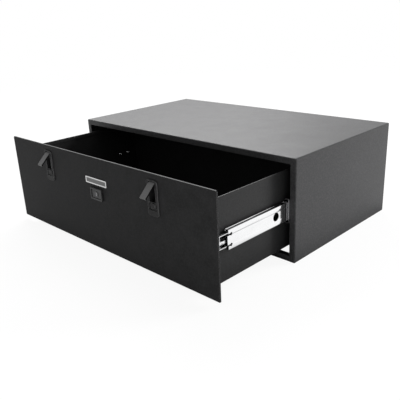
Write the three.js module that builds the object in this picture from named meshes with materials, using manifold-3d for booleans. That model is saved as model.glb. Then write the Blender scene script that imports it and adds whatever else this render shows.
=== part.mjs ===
// Under desk drawer safe: a folded steel housing with a drawer on telescopic ball-bearing slides.
// Millimetres, +Z up. The origin is the middle of the top face, which goes against the desk.
// The front of the housing faces -Y, and +X is to the right of someone who faces it.
// The drawer stands part open, with both latch levers swung out.
import * as THREE from "three";
import { mergeVertices } from "three/addons/utils/BufferGeometryUtils.js";
import Module from "manifold-3d";

const wasm = await Module();
wasm.setup();

// Housing
const housingWidth = 620;
const housingDepth = 342;
const housingHeight = 199;
const housingSheet = 2;
const housingEdgeRadius = 2.4;
const frameLip = 12;
const baseLip = 20;
const frontRailDepth = 29;
const rearRailDepth = 25;
const anchorHoleDiameter = 9;
const anchorInset = 70;
const backFlange = 14;
const bevelReserve = 0.4;

// Front panel
const panelSideMargin = 2;
const panelTopMargin = 2.8;
const panelBottomMargin = 8.9;
const panelSheet = 3;
const panelTopCorner = 4;
const panelBottomCorner = 2;
const panelClosedGap = 1.5;
const panelEdgeRadius = 0.6;

// Drawer tray
const traySheet = 1.5;
const trayTopClearance = 15;
const trayBottomClearance = 9.2;
const trayRearClearance = 14;
const trayFlange = 12;
const angleLeg = 13;
const trayBendRadius = 2.2;
const hemDepth = 7;
const hemClearance = 2;

// Telescopic slides
const slideRearClearance = 36;
const slideHeight = 45.7;
const slideThickness = 12.7;
const slideSheet = 1.2;
const slideAxisHeight = 99;
const slideSetback = 2.3;
const slideFrontInset = 1;
const middleHeight = 35;
const middleTongue = 2;
const innerHeight = 23.4;
const outerLipReach = 8.7;
const outerBallReach = 4.5;
const middleWebReach = 3.1;
const middleLipReach = 10.5;
const innerBallReach = 7.2;
const innerEndReach = 5.2;
const slideLip = 2.6;
const raceDepth = 0.3;
const raceHalfWidth = 1.3;
const raceSteps = 6;
const ballGap = 0.3;
const ballsPerRow = 6;
const cageSheet = 0.7;
const cageBend = 1;
const outerCageLength = 118;
const innerCageLength = 85;
const outerCageLead = 6;
const innerCageLead = 129;
const accessHoleDiameter = 16;
const accessHoleInset = 124.5;
const accessHoleOffset = 8;
const slitLength = 9;
const slitWidth = 1.8;
const slitSpacing = 18.6;
const slotLength = 10;
const slotWidth = 6;
const slotInset = 30;
const innerSlideInset = 4;
const screwInsets = [54, 130];
const rearScrewInsets = [45, 21];
const screwHead = 8;
const screwHeadHeight = 1.8;
const screwShank = 4;
const bracketHeight = 64;
const bracketEndInset = 7.5;
const bracketShoulder = 1;
const bracketBend = 1.5;

// How far the drawer stands open, and the slides' travels
const drawerOpening = 194;
const middleTravel = 159.5;

// Latches
const latchSpacing = 327.4;
const latchTopMargin = 10.8;
const panWidth = 27;
const panHeight = 64;
const panCornerRadius = 5;
const panBevel = 0.5;
const panProud = 2.2;
const pocketWidth = 22;
const pocketHeight = 14;
const pocketDepth = 1.6;
const pocketCorner = 2;
const dishWall = 1.3;
const dishDepth = 12;
const clampBorder = 4;
const clampTopBorder = 1.2;
const leverWidth = 15;
const leverLength = 32;
const leverThickness = 2.6;
const leverTipRadius = 1.5;
const leverTipRise = 3;
const leverTipLip = 1.2;
const leverNeck = 3;
const leverOpenAngle = 46;
const leverSideGap = 0.5;
const leverSink = 0.3;
const leverTipGap = 0.6;
const leverPinDrop = 7.5;
const leverPinDepth = 3;
const leverPinDiameter = 3.2;
const hubDiameter = 7.6;
const hookThickness = 4;
const hookReach = 4;
const hookClearance = 0.7;
const hookNose = 4.6;
const hookShoulder = 1.8;
const hookChamfer = 2;
const hookRingInset = 0.1;
const hookSlotDrop = 8;
const buttonWidth = 10.4;
const buttonHeight = 9;
const buttonCorner = 2;
const buttonProud = 0.4;
const buttonLength = 11;
const buttonBevel = 0.6;
const bossLength = 8;
const buttonRise = 18.1;

// Lock and nameplate
const lockDrop = 70.7;
const lockWidth = 35.6;
const lockHeight = 23.2;
const lockProud = 4;
const lockRim = 3;
const lockRecess = 1.4;
const lockCorner = 2;
const lockBevel = 1;
const lockRecessCorner = 1.2;
const plugSink = 0.6;
const plugDiameter = 12;
const barrelDiameter = 19;
const lockNutWidth = 24;
const lockNutThickness = 4;
const camSquare = 7;
const camThickness = 2;
const camWidth = 13;
const camOverlap = 5.5;
const camScrewWidth = 10.5;
const camScrewHeight = 2.6;
const keywayWidth = 1.8;
const keywayHeight = 7.4;
const keywayDepth = 6;
const camShoulder = 2;
const camNeck = 6;
const nameplateWidth = 65;
const nameplateHeight = 12.8;
const nameplateDrop = 46.4;
const nameplateThickness = 1.2;
const nameplateCorner = 1.5;
const nameplateBevel = 0.3;

// Fits
const seatGap = 0.2;
const runningGap = 0.3;
const boreGap = 0.25;

// Places worked out from the sizes above, in the housing's own frame: y from its front, z from its foot
const opening = {
  halfWidth: housingWidth / 2 - frameLip,
  top: housingHeight - frameLip,
  bottom: frameLip,
};
const rearRail = {
  back: housingDepth - backFlange - seatGap,
  front: housingDepth - backFlange - seatGap - rearRailDepth,
};
const panel = {
  halfWidth: housingWidth / 2 - panelSideMargin,
  top: housingHeight - panelTopMargin,
  bottom: panelBottomMargin,
  back: -panelClosedGap - drawerOpening,
  front: -panelClosedGap - drawerOpening - panelSheet,
};
const slide = {
  outerFace: opening.halfWidth - slideSetback,
  drawerFace: opening.halfWidth - slideSetback - slideThickness,
  front: slideFrontInset,
  length: housingDepth - slideFrontInset - slideRearClearance,
};
const tray = {
  halfWidth: slide.drawerFace - seatGap,
  top: opening.top - trayTopClearance,
  bottom: opening.bottom + trayBottomClearance,
  front: panel.back + seatGap,
  back: housingDepth - housingSheet - trayRearClearance - drawerOpening,
};

const blackSteel = { color: 0x2b2b2c, roughness: 0.55, metalness: 0.35 };
const darkSteel = { color: 0x222223, roughness: 0.5, metalness: 0.4 };
const zincSteel = { color: 0xd6d8da, roughness: 0.28, metalness: 1 };
const ballSteel = { color: 0xb4b6b8, roughness: 0.25, metalness: 1 };
const castBlack = { color: 0x303031, roughness: 0.5, metalness: 0.3 };
const nameplateAluminium = { color: 0xd0d0d0, roughness: 0.35, metalness: 1 };
const lockChrome = { color: 0xa8a8aa, roughness: 0.25, metalness: 1 };

const degrees = Math.PI / 180;

// Solids from geometries, and back
function solidOf(geometry) {
  const bare = geometry.clone();
  bare.deleteAttribute("normal");
  bare.deleteAttribute("uv");
  bare.clearGroups();
  const merged = mergeVertices(bare, 1e-4);
  const mesh = new wasm.Mesh({
    numProp: 3,
    vertProperties: new Float32Array(merged.attributes.position.array),
    triVerts: new Uint32Array(merged.index.array),
  });
  mesh.merge();
  return new wasm.Manifold(mesh);
}

function geometryOf(solid) {
  const mesh = solid.getMesh();
  const geometry = new THREE.BufferGeometry();
  geometry.setAttribute("position", new THREE.BufferAttribute(mesh.vertProperties, 3));
  geometry.setIndex(new THREE.BufferAttribute(mesh.triVerts, 1));
  const flat = geometry.toNonIndexed();
  flat.computeVertexNormals();
  return flat;
}

function joined(geometries) {
  const solids = geometries.map(solidOf);
  return geometryOf(solids.reduce((all, next) => all.add(next)));
}

function cutFrom(geometry, tools) {
  const solids = tools.map(solidOf);
  return geometryOf(solids.reduce((rest, tool) => rest.subtract(tool), solidOf(geometry)));
}

// A block between two corners
function block([x0, x1], [y0, y1], [z0, z1]) {
  const geometry = new THREE.BoxGeometry(x1 - x0, y1 - y0, z1 - z0);
  return geometry.translate((x0 + x1) / 2, (y0 + y1) / 2, (z0 + z1) / 2);
}

// A round bar along an axis, from one end to the other
function bar(axis, diameter, [from, to], [a, b], sides = 24) {
  const geometry = new THREE.CylinderGeometry(diameter / 2, diameter / 2, to - from, sides);
  const middle = (from + to) / 2;
  if (axis === "x") return geometry.rotateZ(Math.PI / 2).translate(middle, a, b);
  if (axis === "y") return geometry.translate(a, middle, b);
  return geometry.rotateX(Math.PI / 2).translate(a, b, middle);
}

// An outline in X and Z, extruded along Y
function alongY(shape, [y0, y1], bevel = 0, curveSegments = 6) {
  const geometry = new THREE.ExtrudeGeometry(shape, {
    depth: y1 - y0 - 2 * bevel,
    bevelEnabled: bevel > 0,
    bevelSize: bevel,
    bevelThickness: bevel,
    bevelOffset: -bevel,
    bevelSegments: 2,
    curveSegments,
  });
  return geometry.rotateX(Math.PI / 2).translate(0, y1 - bevel, 0);
}

// An outline in Y and Z, extruded along X
function alongX(shape, [x0, x1], curveSegments = 6) {
  const geometry = new THREE.ExtrudeGeometry(shape, {
    depth: x1 - x0,
    bevelEnabled: false,
    curveSegments,
  });
  return geometry.rotateX(Math.PI / 2).rotateZ(Math.PI / 2).translate(x0, 0, 0);
}

function roundedRectangle(x0, x1, z0, z1, radius, topRadius = radius) {
  const shape = new THREE.Shape();
  shape.moveTo(x0 + radius, z0);
  shape.lineTo(x1 - radius, z0);
  shape.absarc(x1 - radius, z0 + radius, radius, -Math.PI / 2, 0, false);
  shape.lineTo(x1, z1 - topRadius);
  shape.absarc(x1 - topRadius, z1 - topRadius, topRadius, 0, Math.PI / 2, false);
  shape.lineTo(x0 + topRadius, z1);
  shape.absarc(x0 + topRadius, z1 - topRadius, topRadius, Math.PI / 2, Math.PI, false);
  shape.lineTo(x0, z0 + radius);
  shape.absarc(x0 + radius, z0 + radius, radius, Math.PI, 1.5 * Math.PI, false);
  return shape;
}

// The middle line of a folded sheet, with an arc at each corner
function bentLine(corners, radius, steps = 3) {
  const line = [];
  corners.forEach(([x, z], i) => {
    const here = new THREE.Vector2(x, z);
    if (i === 0 || i === corners.length - 1) {
      line.push(here);
      return;
    }
    const before = new THREE.Vector2(...corners[i - 1]).sub(here);
    const after = new THREE.Vector2(...corners[i + 1]).sub(here);
    const setback = Math.min(radius, 0.49 * before.length(), 0.49 * after.length());
    const start = before.setLength(setback).add(here);
    const end = after.setLength(setback).add(here);
    const arc = new THREE.QuadraticBezierCurve(start, here, end);
    line.push(...arc.getPoints(steps));
  });
  return line;
}

// The section of a sheet of the given thickness whose middle follows a line
function sheetSection(line, thickness) {
  const sides = [[], []];
  line.forEach((point, i) => {
    const before = line[Math.max(i - 1, 0)];
    const after = line[Math.min(i + 1, line.length - 1)];
    const into = (i === 0 ? after.clone().sub(point) : point.clone().sub(before)).normalize();
    const out = (i === line.length - 1 ? into.clone() : after.clone().sub(point)).normalize();
    const along = into.clone().add(out).normalize();
    const reach = thickness / 2 / along.dot(into);
    const across = new THREE.Vector2(-along.y, along.x).multiplyScalar(reach);
    sides[0].push(point.clone().add(across));
    sides[1].push(point.clone().sub(across));
  });
  return new THREE.Shape([...sides[1], ...sides[0].reverse()]);
}

// Every piece hangs in one group whose origin is the middle of the top face
const safe = new THREE.Group();
const assembly = new THREE.Group();
assembly.position.set(0, -housingDepth / 2, -housingHeight);
safe.add(assembly);

function place(parent, name, geometry, look) {
  const mesh = new THREE.Mesh(geometry, new THREE.MeshStandardMaterial(look));
  mesh.name = name;
  parent.add(mesh);
  return mesh;
}

// Housing shell: top, side walls, the lips round the front opening and the feet under the sides
function housingShell() {
  const half = housingWidth / 2;
  const outline = roundedRectangle(-half, half, 0, housingHeight, housingEdgeRadius);
  const outside = alongY(outline, [0, housingDepth], housingEdgeRadius - bevelReserve, 3);
  const inner = half - housingSheet;
  const cavity = block(
    [-inner, inner],
    [housingSheet, housingDepth + 1],
    [housingSheet, housingHeight - housingSheet],
  );
  const doorway = block(
    [-opening.halfWidth, opening.halfWidth],
    [-1, housingSheet + 1],
    [-1, opening.top],
  );
  const underside = block(
    [-half + baseLip, half - baseLip],
    [-1, housingDepth + 1],
    [-1, housingSheet + 1],
  );
  const notches = [
    [-1, frontRailDepth + seatGap],
    [rearRail.front - seatGap, housingDepth + 1],
  ].map((reach) => block([-opening.halfWidth, opening.halfWidth], reach, [-1, housingSheet + 1]));
  return cutFrom(outside, [cavity, doorway, underside, ...notches]);
}

// An angle rail across the open underside, with a face that stands up at one end
function baseRail(faceY, returnY) {
  const half = opening.halfWidth - seatGap;
  const forward = returnY > faceY ? 1 : -1;
  const inset = (forward * housingSheet) / 2;
  const line = bentLine(
    [
      [faceY + inset, frameLip],
      [faceY + inset, housingSheet / 2],
      [returnY, housingSheet / 2],
    ],
    housingEdgeRadius,
  );
  const rail = alongX(sheetSection(line, housingSheet), [-half, half]);
  const holeY = (faceY + inset * 2 + returnY) / 2;
  const holes = [-1, 1].map((side) => {
    const holeX = side * (half - anchorInset);
    return bar("z", anchorHoleDiameter, [-1, housingSheet + 1], [holeX, holeY]);
  });
  return cutFrom(rail, holes);
}

// Back plate with flanges folded forward along its four edges, and anchor holes
function housingBack() {
  const half = housingWidth / 2 - housingSheet - seatGap;
  const foot = housingSheet + seatGap;
  const head = housingHeight - housingSheet - seatGap;
  const back = housingDepth;
  const outline = roundedRectangle(-half, half, foot, head, housingEdgeRadius);
  const solid = alongY(outline, [back - backFlange, back], 0, 3);
  const hollow = block(
    [-half + housingSheet, half - housingSheet],
    [back - backFlange - 1, back - housingSheet],
    [foot + housingSheet, head - housingSheet],
  );
  const holes = [];
  for (const side of [-1, 1]) {
    for (const level of [0.25, 0.75]) {
      const holeX = side * (half - anchorInset);
      const holeZ = foot + level * (head - foot);
      holes.push(bar("y", anchorHoleDiameter, [back - housingSheet - 1, back + 1], [holeX, holeZ]));
    }
  }
  return cutFrom(solid, [hollow, ...holes]);
}

// Hat-section bracket that carries the outer slide member off the side wall
function slideBracket() {
  const wall = housingWidth / 2 - housingSheet - seatGap - slideSheet / 2;
  const face = slide.outerFace + seatGap + slideSheet / 2;
  const half = bracketHeight / 2;
  const shoulder = slideHeight / 2 + bracketShoulder;
  const corners = [
    [wall, slideAxisHeight - half],
    [wall, slideAxisHeight - shoulder],
    [face, slideAxisHeight - shoulder],
    [face, slideAxisHeight + shoulder],
    [wall, slideAxisHeight + shoulder],
    [wall, slideAxisHeight + half],
  ];
  const section = sheetSection(bentLine(corners, bracketBend), slideSheet);
  return alongY(section, [slide.front + bracketEndInset, slide.front + slide.length - bracketEndInset]);
}

// Across the slide, distances run from the drawer's side out to the housing's
const across = {
  outerWeb: slideThickness - slideSheet / 2,
  outerLip: slideThickness - outerLipReach,
  outerBall: slideThickness - outerBallReach,
  middleWeb: slideThickness - middleWebReach,
  middleLip: slideThickness - middleLipReach,
  innerBall: slideThickness - innerBallReach,
  innerWeb: slideSheet / 2,
  innerEnd: slideThickness - innerEndReach,
};

// Half of a member's section: from the free end of the upper flange, over its ball races, to its web
function memberHalf(halfHeight, end, web, lip, races) {
  const level = halfHeight - slideSheet / 2;
  const forward = Math.sign(web - end);
  const line = [];
  if (lip > 0) line.push(new THREE.Vector2(end, halfHeight - lip));
  line.push(new THREE.Vector2(end, level));
  for (const race of races) {
    for (let i = 0; i <= raceSteps; i++) {
      const turn = (2 * Math.PI * i) / raceSteps;
      const at = race.at + forward * raceHalfWidth * ((2 * i) / raceSteps - 1);
      line.push(new THREE.Vector2(at, level + (race.sign * raceDepth * (1 - Math.cos(turn))) / 2));
    }
  }
  line.push(new THREE.Vector2(web, level));
  return line;
}

// The whole section: the half above the axis and its mirror below
function memberSection(halfHeight, end, web, lip, races) {
  const upper = memberHalf(halfHeight, end, web, lip, races);
  const lower = upper.map((p) => new THREE.Vector2(p.x, -p.y)).reverse();
  const line = [...upper, ...lower].map((p) => {
    return new THREE.Vector2(slide.drawerFace + p.x, slideAxisHeight + p.y);
  });
  return sheetSection(line, slideSheet);
}

function outerMember() {
  const races = [{ at: across.outerBall, sign: 1 }];
  const section = memberSection(slideHeight / 2, across.outerLip, across.outerWeb, slideLip, races);
  return alongY(section, [slide.front, slide.front + slide.length]);
}

// The middle member: its web faces the housing, with a tongue and two slits at the front end
function middleMember() {
  const front = slide.front - middleTravel;
  const races = [
    { at: across.innerBall, sign: 1 },
    { at: across.outerBall, sign: -1 },
  ];
  const section = memberSection(middleHeight / 2, across.middleLip, across.middleWeb, slideLip, races);
  const body = alongY(section, [front, front + slide.length]);
  const web = slide.drawerFace + across.middleWeb;
  const through = [web - slideSheet, web + slideSheet];
  const tongue = block(
    [web - slideSheet / 2, web + slideSheet / 2],
    [front - middleTongue, front + 1],
    [slideAxisHeight - slitSpacing / 2, slideAxisHeight + slitSpacing / 2],
  );
  const slits = [-1, 1].map((side) => {
    const z = slideAxisHeight + (side * slitSpacing) / 2;
    const height = [z - slitWidth / 2, z + slitWidth / 2];
    return block(through, [front - middleTongue - 1, front + slitLength], height);
  });
  const holes = [accessHoleInset, slide.length - accessHoleInset].map((inset) => {
    return bar("x", accessHoleDiameter, through, [front + inset, slideAxisHeight]);
  });
  return cutFrom(joined([body, tongue]), [...slits, ...holes]);
}

const inner = {
  front: tray.front + innerSlideInset,
  screws: [...screwInsets, ...rearScrewInsets.map((inset) => slide.length - inset)],
};

// The inner member's access hole comes just behind the middle member's at this opening
const accessInset = slide.front - middleTravel + accessHoleInset + accessHoleOffset - inner.front;

function innerMember() {
  const races = [{ at: across.innerBall, sign: -1 }];
  const section = memberSection(innerHeight / 2, across.innerEnd, across.innerWeb, 0, races);
  const body = alongY(section, [inner.front, inner.front + slide.length]);
  const through = [slide.drawerFace - 1, slide.drawerFace + slideSheet + 1];
  const holes = inner.screws.map((inset) => {
    return bar("x", screwShank + 2 * boreGap, through, [inner.front + inset, slideAxisHeight], 12);
  });
  const slotY = [-1, 1].map((end) => inner.front + slotInset + (end * (slotLength - slotWidth)) / 2);
  const slotZ = [slideAxisHeight - slotWidth / 2, slideAxisHeight + slotWidth / 2];
  const slotEnds = slotY.map((y) => bar("x", slotWidth, through, [y, slideAxisHeight], 16));
  const access = bar("x", accessHoleDiameter, through, [inner.front + accessInset, slideAxisHeight]);
  return cutFrom(body, [...holes, ...slotEnds, block(through, slotY, slotZ), access]);
}

// A retainer strip with a row of balls along each edge
function ballCage(webAt, ballAt, ball, start, length) {
  const armEnd = ballAt - 0.7 * ball.radius;
  const corners = [
    [armEnd, ball.level],
    [webAt, ball.level],
    [webAt, -ball.level],
    [armEnd, -ball.level],
  ].map(([x, z]) => [slide.drawerFace + x, slideAxisHeight + z]);
  const strip = alongY(sheetSection(bentLine(corners, cageBend), cageSheet), [start, start + length]);
  const balls = [];
  for (let i = 0; i < ballsPerRow; i++) {
    const y = start + (length * (i + 0.5)) / ballsPerRow;
    for (const side of [-1, 1]) {
      const round = new THREE.SphereGeometry(ball.radius, 6, 4);
      balls.push(round.translate(slide.drawerFace + ballAt, y, slideAxisHeight + side * ball.level));
    }
  }
  return joined([strip, ...balls]);
}

// Balls run between an upper race and a lower one, with a gap to each
function ballBetween(upperFace, lowerFace) {
  return { level: (upperFace + lowerFace) / 2, radius: (upperFace - lowerFace) / 2 - ballGap };
}

function outerCage() {
  const ball = ballBetween(slideHeight / 2 - slideSheet + raceDepth, middleHeight / 2 - raceDepth);
  const webAt = (across.outerWeb + across.middleWeb) / 2;
  return ballCage(webAt, across.outerBall, ball, slide.front + outerCageLead, outerCageLength);
}

function innerCage() {
  const ball = ballBetween(middleHeight / 2 - slideSheet + raceDepth, innerHeight / 2 - raceDepth);
  const webAt = across.middleWeb - slideSheet / 2 - runningGap - cageSheet / 2;
  const start = Math.max(inner.front, slide.front - middleTravel) + innerCageLead;
  return ballCage(webAt, across.innerBall, ball, start, innerCageLength);
}

// Screw through the drawer's side into the inner member, with its domed head inside the drawer
function slideScrew(inset) {
  const at = [inner.front + inset, slideAxisHeight];
  const wall = tray.halfWidth - traySheet;
  const dome = new THREE.LatheGeometry(
    [
      new THREE.Vector2(0, 0),
      new THREE.Vector2(screwHead / 2, 0),
      new THREE.Vector2(0.46 * screwHead, 0.55 * screwHeadHeight),
      new THREE.Vector2(0.3 * screwHead, 0.9 * screwHeadHeight),
      new THREE.Vector2(0, screwHeadHeight),
    ],
    12,
  );
  const head = dome.rotateZ(Math.PI / 2).translate(wall - seatGap, ...at);
  const shank = bar("x", screwShank, [wall - 1, slide.drawerFace + slideSheet + seatGap], at, 12);
  return joined([head, shank]);
}

// Drawer tray: bottom and sides folded from one sheet, with a hem along each top edge
function drawerTray() {
  const half = tray.halfWidth - traySheet / 2;
  const low = tray.bottom + traySheet / 2;
  const high = tray.top - traySheet / 2;
  const hem = half - traySheet - seatGap;
  const corners = [
    [-hem, high - hemDepth],
    [-hem, high],
    [-half, high],
    [-half, low],
    [half, low],
    [half, high],
    [hem, high],
    [hem, high - hemDepth],
  ];
  const folded = alongY(sheetSection(bentLine(corners, trayBendRadius), traySheet), [tray.front, tray.back]);
  const holes = [-1, 1].flatMap((side) => {
    const through = side > 0 ? [half - 2, half + 2] : [-half - 2, -half + 2];
    return inner.screws.map((inset) => {
      return bar("x", screwShank + 2 * boreGap, through, [inner.front + inset, slideAxisHeight], 12);
    });
  });
  return cutFrom(folded, holes);
}

// Angle in each front corner of the tray: one leg on the panel's back, one on the tray's side
function cornerAngle() {
  const outer = tray.halfWidth - traySheet - seatGap;
  const z = [tray.bottom + traySheet + trayBendRadius, tray.top - hemDepth - hemClearance];
  const onPanel = block([outer - trayFlange, outer], [tray.front, tray.front + traySheet], z);
  const onSide = block([outer - traySheet, outer], [tray.front, tray.front + angleLeg], z);
  return joined([onPanel, onSide]);
}

// Angle along the tray's front edge, between the corner angles
function footAngle() {
  const half = tray.halfWidth - traySheet - trayFlange - hemClearance;
  const low = tray.bottom + traySheet + seatGap;
  const onPanel = block([-half, half], [tray.front, tray.front + traySheet], [low, low + trayFlange]);
  const onFloor = block([-half, half], [tray.front, tray.front + angleLeg], [low, low + traySheet]);
  return joined([onPanel, onFloor]);
}

// Back wall of the drawer, with flanges folded rearward at the sides and foot
function drawerBack() {
  const half = tray.halfWidth - traySheet - seatGap;
  const foot = tray.bottom + traySheet + seatGap;
  const head = tray.top - traySheet - hemDepth;
  const outline = roundedRectangle(-half, half, foot, head, trayBendRadius);
  const solid = alongY(outline, [tray.back - trayFlange, tray.back], 0, 3);
  const hollow = block(
    [-half + traySheet, half - traySheet],
    [tray.back - trayFlange + traySheet, tray.back + 1],
    [foot + traySheet, head + 1],
  );
  return cutFrom(solid, [hollow]);
}

// Places on the panel
const leverFace = leverPinDepth + panProud + seatGap - leverSink;
const latch = {
  panTop: panel.top - latchTopMargin,
  panBottom: panel.top - latchTopMargin - panHeight,
  pinZ: panel.top - latchTopMargin - leverPinDrop,
  pinY: panel.front + leverPinDepth,
  dishHalf: leverWidth / 2 + leverSideGap,
  dishTop: panel.top - latchTopMargin - leverPinDrop + leverFace + 2 * runningGap,
  dishBottom: panel.top - latchTopMargin - leverPinDrop - leverLength - leverTipGap,
  dishBack: panel.front + dishDepth,
};
const button = {
  z: latch.panBottom + buttonRise,
  bossHalfWidth: buttonWidth / 2 + boreGap + dishWall,
  bossHalfHeight: buttonHeight / 2 + boreGap + dishWall,
};
const lock = {
  z: panel.top - lockDrop,
  camFront: panel.back + lockNutThickness + 2 * seatGap,
};
const nameplateZ = panel.top - nameplateDrop;

// The space a latch needs through the panel
function latchCutout(gap) {
  const half = latch.dishHalf + dishWall + gap;
  const low = Math.min(button.z - button.bossHalfHeight, latch.dishBottom - dishWall) - gap;
  return [
    [-half, half],
    [low, latch.dishTop + dishWall + gap],
  ];
}

function frontPanel() {
  const half = panel.halfWidth;
  const outline = roundedRectangle(-half, half, panel.bottom, panel.top, panelBottomCorner, panelTopCorner);
  const plate = alongY(outline, [panel.front, panel.back], panelEdgeRadius, 5);
  const through = [panel.front - 1, panel.back + 1];
  const [cutX, cutZ] = latchCutout(seatGap);
  const cutouts = [-1, 1].map((side) => {
    const at = (side * latchSpacing) / 2;
    return block([at + cutX[0], at + cutX[1]], through, cutZ);
  });
  const lockHole = bar("y", barrelDiameter + 2 * seatGap, through, [0, lock.z]);
  return cutFrom(plate, [...cutouts, lockHole]);
}

// Latch pan: a proud plate with a dish behind it for the lever, and a boss for the button
function latchPan() {
  const half = panWidth / 2;
  const outline = roundedRectangle(-half, half, latch.panBottom, latch.panTop, panCornerRadius);
  const plateBack = panel.front - seatGap;
  const plate = alongY(outline, [plateBack - panProud, plateBack], panBevel, 4);
  const dish = block(
    [-latch.dishHalf - dishWall, latch.dishHalf + dishWall],
    [plateBack - panBevel, latch.dishBack],
    [latch.dishBottom - dishWall, latch.dishTop + dishWall],
  );
  const boss = block(
    [-button.bossHalfWidth, button.bossHalfWidth],
    [plateBack - panBevel, plateBack + bossLength],
    [button.z - button.bossHalfHeight, latch.dishBottom],
  );
  const hollow = block(
    [-latch.dishHalf, latch.dishHalf],
    [plateBack - panProud - 1, latch.dishBack - dishWall],
    [latch.dishBottom, latch.dishTop],
  );
  const pocketHalf = pocketWidth / 2;
  const pocketFoot = latch.dishBottom - pocketHeight;
  const pocket = alongY(
    roundedRectangle(-pocketHalf, pocketHalf, pocketFoot, latch.dishBottom, pocketCorner),
    [plateBack - panProud - 1, plateBack - panProud + pocketDepth],
    0,
    3,
  );
  const hookSlot = block(
    [-hookThickness / 2 - leverSideGap, hookThickness / 2 + leverSideGap],
    [latch.pinY, latch.dishBack + 1],
    [latch.pinZ - hookSlotDrop, latch.dishTop + dishWall + 1],
  );
  const pinReach = latch.dishHalf + dishWall + 1;
  const pinBore = leverPinDiameter + 2 * seatGap;
  const pinHole = bar("x", pinBore, [-pinReach, pinReach], [latch.pinY, latch.pinZ], 16);
  const buttonReach = [plateBack - panProud - 1, plateBack + buttonLength + 1];
  const buttonHole = alongY(buttonOutline(boreGap), buttonReach, 0, 3);
  return cutFrom(joined([plate, dish, boss]), [hollow, pocket, hookSlot, pinHole, buttonHole]);
}

function buttonOutline(gap) {
  const half = buttonWidth / 2 + gap;
  const low = button.z - buttonHeight / 2 - gap;
  const high = button.z + buttonHeight / 2 + gap;
  return roundedRectangle(-half, half, low, high, buttonCorner);
}

// Clamp frame behind the panel that draws the pan against it
function latchClamp() {
  const [cutX, cutZ] = latchCutout(2 * seatGap);
  const behind = [panel.back + seatGap, panel.back + seatGap + traySheet];
  const reachX = [cutX[0] - clampBorder, cutX[1] + clampBorder];
  const reachZ = [cutZ[0] - clampBorder, cutZ[1] + clampTopBorder];
  const window = block(cutX, [behind[0] - 1, behind[1] + 1], cutZ);
  return cutFrom(block(reachX, behind, reachZ), [window]);
}

// Lever in side view, hanging flush from its pin: a hub, a flat blade and a finger lip at the tip
function leverShape() {
  const hub = hubDiameter / 2;
  const face = -leverFace;
  const inside = face + leverThickness;
  const shape = new THREE.Shape();
  shape.moveTo(face, 0);
  shape.lineTo(face, -leverLength + leverTipRadius);
  shape.quadraticCurveTo(face, -leverLength, face + leverTipRadius, -leverLength);
  shape.lineTo(inside + leverTipLip, -leverLength);
  shape.lineTo(inside, -leverLength + leverTipRise);
  shape.lineTo(inside, -hub - leverNeck);
  shape.quadraticCurveTo(inside, -hub, 0, -hub);
  shape.absarc(0, 0, hub, -Math.PI / 2, Math.PI / 2, false);
  shape.quadraticCurveTo(face, hub, face, 0);
  return shape;
}

function latchLever() {
  const half = leverWidth / 2;
  const blade = alongX(leverShape(), [-half, half], 5);
  const bore = bar("x", leverPinDiameter + 2 * boreGap, [-half - 1, half + 1], [0, 0], 16);
  const slot = block(
    [-hookThickness / 2 - seatGap, hookThickness / 2 + seatGap],
    [-hubDiameter / 2 - seatGap, hubDiameter],
    [-hubDiameter / 2 - 4 * seatGap, hubDiameter],
  );
  return cutFrom(blade, [bore, slot]);
}

// Hook on the lever's pin: with the lever flush, its nose stands up behind the top lip of the frame
function latchHook() {
  const closedPinY = latch.pinY + drawerOpening;
  const lipBack = housingSheet - closedPinY;
  const noseFront = lipBack + hookClearance;
  const noseTop = opening.top - latch.pinZ + hookReach;
  const ring = hubDiameter / 2 - hookRingInset;
  const shape = new THREE.Shape();
  shape.moveTo(0, -ring);
  shape.absarc(0, 0, ring, -Math.PI / 2, 0, false);
  shape.lineTo(noseFront + hookNose, ring + hookShoulder);
  shape.lineTo(noseFront + hookNose, noseTop - hookChamfer);
  shape.lineTo(noseFront + hookNose - hookChamfer, noseTop);
  shape.lineTo(noseFront, noseTop);
  shape.lineTo(noseFront, ring + hookRingInset);
  shape.lineTo(0, ring);
  shape.absarc(0, 0, ring, Math.PI / 2, 1.5 * Math.PI, false);
  const half = hookThickness / 2;
  const plate = alongX(shape, [-half, half], 6);
  const bore = bar("x", leverPinDiameter + 2 * boreGap, [-half - 1, half + 1], [0, 0], 16);
  return cutFrom(plate, [bore]);
}

function latchPin() {
  const reach = latch.dishHalf + dishWall;
  return bar("x", leverPinDiameter, [-reach, reach], [latch.pinY, latch.pinZ], 16);
}

function latchButton() {
  const front = panel.front - seatGap - panProud - buttonProud;
  return alongY(buttonOutline(0), [front, front + buttonLength], buttonBevel, 3);
}

// Lock: a bevelled block on the panel with a threaded barrel through it
function lockCase() {
  const half = lockWidth / 2;
  const low = lock.z - lockHeight / 2;
  const high = lock.z + lockHeight / 2;
  const seat = panel.front - seatGap;
  const outline = roundedRectangle(-half, half, low, high, lockCorner);
  const bezel = alongY(outline, [seat - lockProud, seat + lockBevel], lockBevel, 3);
  const behind = block([-half - 1, half + 1], [seat, seat + 2 * lockBevel], [low - 1, high + 1]);
  const trimmed = cutFrom(bezel, [behind]);
  const recess = alongY(
    roundedRectangle(-half + lockRim, half - lockRim, low + lockRim, high - lockRim, lockRecessCorner),
    [seat - lockProud - 1, seat - lockProud + lockRecess],
    0,
    3,
  );
  const barrel = bar("y", barrelDiameter, [seat - 1, lock.camFront - seatGap], [0, lock.z]);
  const bore = bar("y", plugDiameter + 2 * boreGap, [seat - lockProud - 1, lock.camFront + 1], [0, lock.z]);
  return cutFrom(joined([trimmed, barrel]), [recess, bore]);
}

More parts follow.
